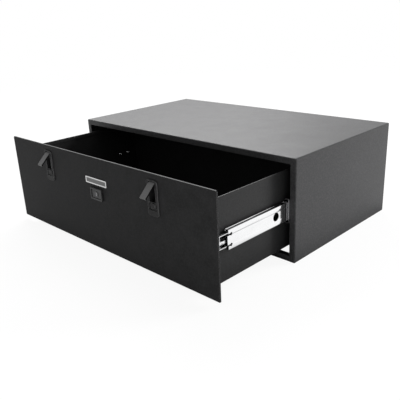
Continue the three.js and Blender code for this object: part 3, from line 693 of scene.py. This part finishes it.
def extrudedSheet(name, line, look, front, length, sign):
    left, right = sheetOutline(line, look["sheet"])
    outline = left + right[::-1]
    bm = bmesh.new()
    rings = []
    for y in (front, front + length):
        points = [(sign * (look["drawerFace"] + p.x), y, look["axis"] + p.y) for p in outline]
        rings.append([bm.verts.new(point) for point in points])
    count, half = len(outline), len(left)
    for i in range(count):
        j = (i + 1) % count
        bm.faces.new((rings[0][i], rings[0][j], rings[1][j], rings[1][i]))
    for ring in rings:
        for i in range(half - 1):
            bm.faces.new((ring[i], ring[i + 1], ring[count - 2 - i], ring[count - 1 - i]))
    return meshFrom(name, bm)


def placeMember(mesh, body, node):
    # plated all over, but for its cut ends
    for face in mesh.polygons:
        face.material_index = 1 if abs(face.normal.y) > squarely else 0
    linkPiece(mesh.name, mesh, body, "zinc_steel", [node], zincPlate, cutEdge)


def throughWeb(sign, look, part):
    # where a cutter through the member's web starts and ends
    centre = sign * (look["drawerFace"] + part["web"])
    return sorted((centre - look["sheet"], centre + look["sheet"]))


def makeOuter(side, sign, look):
    part = look["outer"]
    line = memberLine(part, look)
    mesh = extrudedSheet(f"outerMember_{side}", line, look, part["front"], look["length"], sign)
    placeMember(mesh, "housing", f"outer_slide_{side}")


def creaseCutter(sign, look, part, way):
    # a long wedge that scores the web's outer face: a slope that rises away from the axis, with a step on
    # the side of the axis
    crease = look["crease"]
    face = look["drawerFace"] + part["web"] + look["sheet"] / 2
    out, into = face + crease["depth"], face - crease["depth"]
    start = crease["at"] - crease["slope"] / 2
    heights = [look["axis"] + way * z for z in (start, start, start + 2 * crease["slope"])]
    triangle = list(zip((sign * into, sign * out, sign * out), heights))
    ends = (part["front"] + look["slit"]["length"], part["front"] + look["length"] + spare)
    bm = bmesh.new()
    loft(bm, [[(x, y, height) for x, height in triangle] for y in ends])
    return meshFrom("wedge", bm)


def makeMiddle(side, sign, look):
    part, slit, roundness = look["middle"], look["slit"], look["roundness"]
    front = part["front"]
    mesh = extrudedSheet(f"middleMember_{side}", memberLine(part, look), look, front, look["length"], sign)
    x0, x1 = throughWeb(sign, look, part)
    web = sorted(sign * (look["drawerFace"] + part["web"] + way * look["sheet"] / 2) for way in (-1, 1))
    low, high = look["axis"] - slit["spacing"] / 2, look["axis"] + slit["spacing"] / 2
    tip = front - look["tongue"]
    mesh = carved(mesh, [blockMesh((web[0], tip, low), (web[1], front + spare, high))], "UNION")
    slitStart, slitEnd = tip - spare, front + slit["length"]
    halfWidth = slit["width"] / 2
    cutters = []
    for z in (low, high):
        cutters.append(blockMesh((x0, slitStart, z - halfWidth), (x1, slitEnd, z + halfWidth)))
        cutters.append(barAlongX(slit["endHole"], x0, x1, slitEnd, z, roundness["small"]))
    for way in (-1, 1):
        cutters.append(creaseCutter(sign, look, part, way))
    for inset in (look["accessInset"], look["length"] - look["accessInset"]):
        hole = barAlongX(look["accessHole"], x0, x1, front + inset, look["axis"], roundness["accessHole"])
        cutters.append(hole)
    placeMember(carved(mesh, cutters), f"middle_slide_{side}", f"middle_slide_{side}")


def makeInner(side, sign, look):
    part, slot, roundness = look["inner"], look["slot"], look["roundness"]
    front, axis = part["front"], look["axis"]
    line = memberLine(part, look, lipped=False)
    mesh = extrudedSheet(f"innerMember_{side}", line, look, front, look["length"], sign)
    x0, x1 = throughWeb(sign, look, part)
    bore, access = look["screwBore"], look["accessHole"]
    cutters = [barAlongX(bore, x0, x1, front + inset, axis, roundness["small"]) for inset in look["screws"]]
    cutters.append(barAlongX(access, x0, x1, front + look["innerAccess"], axis, roundness["accessHole"]))
    ends = [front + slot["inset"] + way * (slot["length"] - slot["width"]) / 2 for way in (-1, 1)]
    cutters += [barAlongX(slot["width"], x0, x1, y, axis, roundness["slot"]) for y in ends]
    half = slot["width"] / 2
    cutters.append(blockMesh((x0, ends[0], axis - half), (x1, ends[1], axis + half)))
    placeMember(carved(mesh, cutters), "drawer", f"inner_slide_{side}")


# Ball cages: a pressed strip with a window round each ball, and the balls

cageLook = {
    "sheet": 0.7 * mm,
    "bend": 1.0 * mm,
    "ballsPerRow": 6,
    "windowGap": 0.2 * mm,
    "armReach": 0.7,  # how far the strip's arms run past the balls' centres, as a share of their radius
    "outer": {
        "start": -164.0 * mm, "length": 118.0 * mm, "web": 10.85 * mm,
        "ball": 8.2 * mm, "level": 19.575 * mm, "radius": 2.0 * mm,
    },
    "inner": {
        "start": -191.5 * mm, "length": 76.0 * mm, "web": 8.35 * mm,
        "ball": 5.5 * mm, "level": 14.0 * mm, "radius": 2.3 * mm,
    },
}


def ballMesh(radius, spots, rings=12, segments=20):
    bm = bmesh.new()
    for spot in spots:
        bmesh.ops.create_uvsphere(
            bm, u_segments=segments, v_segments=rings, radius=radius, matrix=Matrix.Translation(spot),
        )
    return meshFrom("balls", bm)


def makeCage(which, side, sign, look, slideValues):
    part = look[which]
    level, radius = part["level"], part["radius"]
    cage = f"{which}_ball_cage_{side}"  # the name of its body and of its node
    armEnd = part["ball"] - look["armReach"] * radius
    corners = [(armEnd, level), (part["web"], level), (part["web"], -level), (armEnd, -level)]
    line = formed(roundedLine(corners, look["bend"]), [])
    stripValues = dict(slideValues, sheet=look["sheet"])
    strip = extrudedSheet("strip", line, stripValues, part["start"], part["length"], sign)
    x = sign * (slideValues["drawerFace"] + part["ball"])
    spots = []
    for i in range(look["ballsPerRow"]):
        y = part["start"] + part["length"] * (i + 0.5) / look["ballsPerRow"]
        spots += [(x, y, slideValues["axis"] + way * level) for way in (-1, 1)]
    strip = carved(strip, [ballMesh(radius + look["windowGap"], spots)])
    linkPiece(f"{which}Cage_{side}", strip, cage, "zinc_steel", [], zincPlate)
    linkPiece(f"{which}Balls_{side}", ballMesh(radius, spots), cage, "ball_steel", [cage], ballSteel)


# Slide screws: domed heads with a cross recess

screwLook = {
    "wall": 281.1 * mm,   # the underside of the head, inside the drawer
    "reach": 284.4 * mm,  # the end of the shank
    "shank": 4.0 * mm,
    # radius and height of the head in millimetres, from its rim at the wall to its crown
    "profile": [(4.0, 0.0), (4.0, 0.3), (3.85, 0.75), (3.4, 1.2), (2.6, 1.55), (1.4, 1.75), (0.4, 1.8)],
    "recess": {"long": 4.6 * mm, "wide": 0.95 * mm, "deep": 1.1 * mm},
    "sides": 32,
}


def makeScrew(side, sign, index, look, slideValues):
    y = slideValues["inner"]["front"] + slideValues["screws"][index]
    z = slideValues["axis"]
    turns = [2 * math.pi * i / look["sides"] for i in range(look["sides"])]
    stations = [(look["shank"] / 2, -(look["reach"] - look["wall"])), (look["shank"] / 2, 0.0)]
    stations += [(r * mm, h * mm) for r, h in look["profile"]]
    loops = []
    for radius, height in stations:
        x = sign * (look["wall"] - height)
        loops.append([(x, y + radius * math.cos(a), z + radius * math.sin(a)) for a in turns])
    bm = bmesh.new()
    loft(bm, loops)
    mesh = meshFrom("screw", bm)
    recess = look["recess"]
    top = look["wall"] - look["profile"][-1][1] * mm
    x = sorted((sign * (top + recess["deep"]), sign * (top - spare)))
    cutters = []
    for along, over in ((recess["long"], recess["wide"]), (recess["wide"], recess["long"])):
        cutters.append(blockMesh((x[0], y - along / 2, z - over / 2), (x[1], y + along / 2, z + over / 2)))
    number = f"{side}_{index + 1}"
    replaced = [f"slide_screw_{number}"]
    linkPiece(f"slideScrew_{number}", carved(mesh, cutters), "drawer", "zinc_steel", replaced, zincPlate)


# Nameplate: left bare, with a raised rim round a darker brushed field

nameplateLook = {
    "halfWidth": 32.5 * mm,
    "halfHeight": 6.4 * mm,
    "middle": -49.2 * mm,
    "back": -369.7 * mm,
    "thickness": 1.2 * mm,
    "corner": 1.5 * mm,
    "leastCorner": 0.3 * mm,
    "bevel": 0.25 * mm,
    "rim": 2.1 * mm,
    "rimSlope": 0.25 * mm,
    "sunk": 0.4 * mm,
}


def plateLoop(look, inset, y, steps=5):
    # a rounded rectangle in the panel's plane, drawn in by the inset
    halfX, halfZ = look["halfWidth"] - inset, look["halfHeight"] - inset
    radius = max(look["corner"] - inset, look["leastCorner"])
    points = []
    for cornerX, cornerZ, start in ((1, 1, 0), (-1, 1, 90), (-1, -1, 180), (1, -1, 270)):
        for i in range(steps + 1):
            turn = math.radians(start + 90 * i / steps)
            x = cornerX * (halfX - radius) + radius * math.cos(turn)
            z = cornerZ * (halfZ - radius) + radius * math.sin(turn)
            points.append((x, y, look["middle"] + z))
    return points


def makeNameplate(look):
    back, bevel, rim = look["back"], look["bevel"], look["rim"]
    front = back - look["thickness"]
    steps = [(0, back), (0, front + bevel), (bevel, front), (rim, front)]
    steps.append((rim + look["rimSlope"], front + look["sunk"]))
    bm = bmesh.new()
    loft(bm, [plateLoop(look, inset, y) for inset, y in steps])
    mesh = meshFrom("nameplate", bm)
    field = max(mesh.polygons, key=lambda face: (face.normal.y < -squarely, face.area))
    field.material_index = 1
    linkPiece("barePlate", mesh, "drawer", "brushed_aluminium", ["nameplate"], brushedPlate, plateField)


# First tumbler: the plate that shows in the keyway, with a step in one edge

tumblerLook = {
    "sunk": 0.2 * mm,        # behind the plug's face
    "thickness": 1.0 * mm,
    "halfWidth": 0.93 * mm,  # let a little into the keyway's walls
    "halfHeight": 3.4 * mm,
    "bevel": 0.15 * mm,
    "step": {"low": -1.2 * mm, "high": 0.4 * mm, "deep": 0.45 * mm},
}


def makeTumbler(look):
    low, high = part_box("lock_plug")
    middleX, middleZ = (low[0] + high[0]) / 2, (low[2] + high[2]) / 2
    front = low[1] + look["sunk"]
    step = look["step"]
    loops = []
    for inset, y in ((0, look["thickness"]), (0, look["bevel"]), (look["bevel"], 0)):
        halfX, halfZ = look["halfWidth"] - inset, look["halfHeight"] - inset
        lowStep, highStep, stepX = step["low"] - inset, step["high"] + inset, halfX - step["deep"]
        outline = [(-halfX, -halfZ), (halfX, -halfZ), (halfX, lowStep), (stepX, lowStep)]
        outline += [(stepX, highStep), (halfX, highStep), (halfX, halfZ), (-halfX, halfZ)]
        loops.append([(middleX + x, front + y, middleZ + z) for x, z in outline])
    bm = bmesh.new()
    loft(bm, loops)
    linkPiece("firstTumbler", meshFrom("firstTumbler", bm), "lock", "zinc_steel", [], cutEdge)


for side, sign in zip(sides, (-1, 1)):
    makeOuter(side, sign, slideLook)
    makeMiddle(side, sign, slideLook)
    makeInner(side, sign, slideLook)
    for which in ("outer", "inner"):
        makeCage(which, side, sign, cageLook, slideLook)
    for index in range(len(slideLook["screws"])):
        makeScrew(side, sign, index, screwLook, slideLook)
makeNameplate(nameplateLook)
makeTumbler(tumblerLook)
print("slides, cages, screws, nameplate and tumbler made")


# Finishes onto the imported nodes

finishByStart = (
    ("housing_", housingCoat),
    ("front_bottom_rail", housingCoat),
    ("rear_bottom_rail", housingCoat),
    ("front_panel", panelCoat),
    ("drawer_", drawerCoat),
    ("foot_angle", drawerCoat),
    ("corner_angle", drawerCoat),
    ("slide_bracket", drawerCoat),
    ("latch_pan", panCoat),
    ("latch_button", panCoat),
    ("latch_lever", castMetal),
    ("lock_case", lockCoat),
    ("lock_plug", darkChrome),
    ("nameplate", brushedPlate),
    ("outer_ball_cage", ballSteel),
    ("inner_ball_cage", ballSteel),
)


def finishFor(name):
    for start, material in finishByStart:
        if name.startswith(start):
            return material
    return zincPlate


for name, node in nodes.items():
    node.data.materials.clear()
    node.data.materials.append(finishFor(name))
    node.data.shade_smooth()
    node.data.set_sharp_from_angle(angle=foldAngle)
print("finishes placed")


# Floor, light and camera

def seenOrMirrored(tree, spot):
    # 1 for camera, glossy and transmission rays, so that metal shows the pale studio too, but 0 for light
    # that a metal throws on a painted face
    x, y = spot
    path = addNode(tree, "ShaderNodeLightPath", spot)
    rays = path.outputs
    seen = mathNode(tree, (x + 200, y), "MAXIMUM", rays["Is Camera Ray"], rays["Is Glossy Ray"])
    seen = mathNode(tree, (x + 400, y), "MAXIMUM", seen, rays["Is Transmission Ray"])
    seen = mathNode(tree, (x + 600, y), "SUBTRACT", seen, rays["Diffuse Depth"], clamp=True)
    return path, seen


floorLook = {
    "size": 40.0,
    "colour": (0.9, 0.9, 0.9),
    "glow": (0.92, 1.0),  # share of plain white that the eye sees, close by and far off
    "fade": (0.8, 3.0),   # how far off these two are
    # where the housing and the open drawer stand, how far the shadow painted round them reaches over the
    # floor that a face mirrors, and how bright the mirrored floor is painted beyond it
    "grounds": [
        {"middle": (0.0, 0.0), "half": (0.31, 0.171), "reach": 0.07, "paintedShadow": 0.35, "clear": 1.18},
        {"middle": (0.0, -0.225), "half": (0.283, 0.055), "reach": 0.16, "paintedShadow": 0.05, "clear": 1.14},
    ],
}


def groundShade(tree, coords, ground, spot):
    # from a painted shadow at the edge of the ground to the painted brightness of clear floor at its reach
    x, y = spot
    apart = addNode(tree, "ShaderNodeSeparateXYZ", spot)
    corner = addNode(tree, "ShaderNodeCombineXYZ", (x + 800, y))
    gap = addNode(tree, "ShaderNodeVectorMath", (x + 950, y), operation="LENGTH")
    wire(tree, coords, apart.inputs["Vector"])
    for axis, middle, half in zip("XY", ground["middle"], ground["half"]):
        shifted = mathNode(tree, (x + 200, y), "SUBTRACT", apart.outputs[axis], middle)
        folded = mathNode(tree, (x + 350, y), "ABSOLUTE", shifted)
        beyond = mathNode(tree, (x + 500, y), "SUBTRACT", folded, half)
        wire(tree, mathNode(tree, (x + 650, y), "MAXIMUM", beyond, 0.0), corner.inputs[axis])
    wire(tree, corner.outputs["Vector"], gap.inputs[0])
    shades = (ground["paintedShadow"], ground["clear"])
    return mapNode(tree, (x + 1100, y), gap.outputs["Value"], (0.0, ground["reach"]), shades, "SMOOTHSTEP")


def paperMaterial(look):
    # plain paper where light falls on it, and a pale glow for the eye and for what mirrors it
    material = bpy.data.materials.new("paperFloor")
    material.use_nodes = True
    tree = material.node_tree
    tree.nodes.clear()
    paper = addNode(tree, "ShaderNodeBsdfDiffuse", (0, 0), Color=(*look["colour"], 1.0))
    glow = addNode(tree, "ShaderNodeEmission", (0, -200), Color=(1, 1, 1, 1))
    mix = addNode(tree, "ShaderNodeMixShader", (300, 0))
    output = addNode(tree, "ShaderNodeOutputMaterial", (600, 0))
    coords = addNode(tree, "ShaderNodeTexCoord", (-1000, 600)).outputs["Object"]
    away = addNode(tree, "ShaderNodeVectorMath", (-800, 600), operation="LENGTH")
    wire(tree, coords, away.inputs[0])
    fade = mapNode(tree, (-600, 600), away.outputs["Value"], look["fade"], look["glow"])
    path, seen = seenOrMirrored(tree, (-1000, 300))
    share = mathNode(tree, (0, 200), "MULTIPLY", seen, fade)
    shades = []
    for i, ground in enumerate(look["grounds"]):
        shades.append(groundShade(tree, coords, ground, (-2400, 1000 + 300 * i)))
    # what metal mirrors of the floor: the deepest painted shadow of the grounds, and floor painted brighter
    # than white beyond them
    paintedShadow = mathNode(tree, (-1000, 1000), "MINIMUM", *shades)
    mirrored = addNode(tree, "ShaderNodeMix", (-800, 1000), data_type="FLOAT", A=1.0)
    wire(tree, path.outputs["Is Glossy Ray"], mirrored.inputs["Factor"])
    wire(tree, paintedShadow, mirrored.inputs["B"])
    wire(tree, mirrored.outputs["Result"], glow.inputs["Strength"])
    wire(tree, share, mix.inputs[0])
    wire(tree, paper.outputs["BSDF"], mix.inputs[1])
    wire(tree, glow.outputs["Emission"], mix.inputs[2])
    wire(tree, mix.outputs["Shader"], output.inputs["Surface"])
    return material


def makeFloor(look):
    mesh = bpy.data.meshes.new("floor")
    half = look["size"] / 2
    level = cadBox[0].z
    corners = [(-half, -half, level), (half, -half, level), (half, half, level), (-half, half, level)]
    mesh.from_pydata(corners, [], [(0, 1, 2, 3)])
    mesh.materials.append(paperMaterial(look))
    floor = bpy.data.objects.new("floor", mesh)
    bpy.context.scene.collection.objects.link(floor)


worldLook = {"light": 0.32, "pale": 1.0}  # what falls on the part, and what the eye and metal see


def makeWorld(look):
    world = bpy.data.worlds.new("studio")
    bpy.context.scene.world = world
    world.use_nodes = True
    tree = world.node_tree
    tree.nodes.clear()
    light = addNode(tree, "ShaderNodeBackground", (0, 0), Color=(1, 1, 1, 1), Strength=look["light"])
    pale = addNode(tree, "ShaderNodeBackground", (0, -200), Color=(1, 1, 1, 1), Strength=look["pale"])
    mix = addNode(tree, "ShaderNodeMixShader", (300, 0))
    output = addNode(tree, "ShaderNodeOutputWorld", (600, 0))
    path, seen = seenOrMirrored(tree, (-1000, 300))
    wire(tree, seen, mix.inputs[0])
    wire(tree, light.outputs["Background"], mix.inputs[1])
    wire(tree, pale.outputs["Background"], mix.inputs[2])
    wire(tree, mix.outputs["Shader"], output.inputs["Surface"])


# where each lamp stands, what it faces, its two sides in metres, its power in watts, and whether metal
# shows it
lampLooks = {
    "overhead": {
        "at": (0.1, 0.15, 2.0), "to": (0, -0.1, -0.1), "size": (2.4, 1.8), "power": 16, "mirrored": False,
    },
    "backSheen": {
        "at": (-1.6, 1.0, 1.75), "to": (0, 0, 0), "size": (2.2, 1.2), "power": 100, "mirrored": True,
    },
    "backRight": {
        "at": (1.45, 1.7, 0.8), "to": (0.2, -0.1, -0.1), "size": (0.9, 0.9), "power": 62, "mirrored": False,
    },
}


def makeLamp(name, look):
    data = bpy.data.lights.new(name, "AREA")
    data.shape = "RECTANGLE"
    data.size, data.size_y = look["size"]
    data.energy = look["power"]
    lamp = bpy.data.objects.new(name, data)
    lamp.location = look["at"]
    aim = Vector(look["to"]) - Vector(look["at"])
    lamp.rotation_euler = aim.to_track_quat("-Z", "Y").to_euler()
    bpy.context.scene.collection.objects.link(lamp)
    lamp.visible_camera = False
    lamp.visible_glossy = look["mirrored"]


cameraLook = {
    "at": (0.80417, -0.89401, 0.24917),
    "turn": (69.843, 2.577, 44.379),  # degrees about X, Y and Z, with the photograph's slight roll
    "lens": 47.41,
    "sensor": 36.0,
    "clip": (0.01, 60.0),
}


def makeCamera(look):
    data = bpy.data.cameras.new("camera")
    data.lens = look["lens"]
    data.sensor_width = look["sensor"]
    data.clip_start, data.clip_end = look["clip"]
    camera = bpy.data.objects.new("camera", data)
    camera.location = look["at"]
    camera.rotation_euler = Euler([math.radians(a) for a in look["turn"]], "XYZ")
    bpy.context.scene.collection.objects.link(camera)
    bpy.context.scene.camera = camera


makeFloor(floorLook)
makeWorld(worldLook)
for lampName, lampLook in lampLooks.items():
    makeLamp(lampName, lampLook)
makeCamera(cameraLook)
bpy.context.scene.view_settings.view_transform = "Standard"
print("stage lit, camera placed")
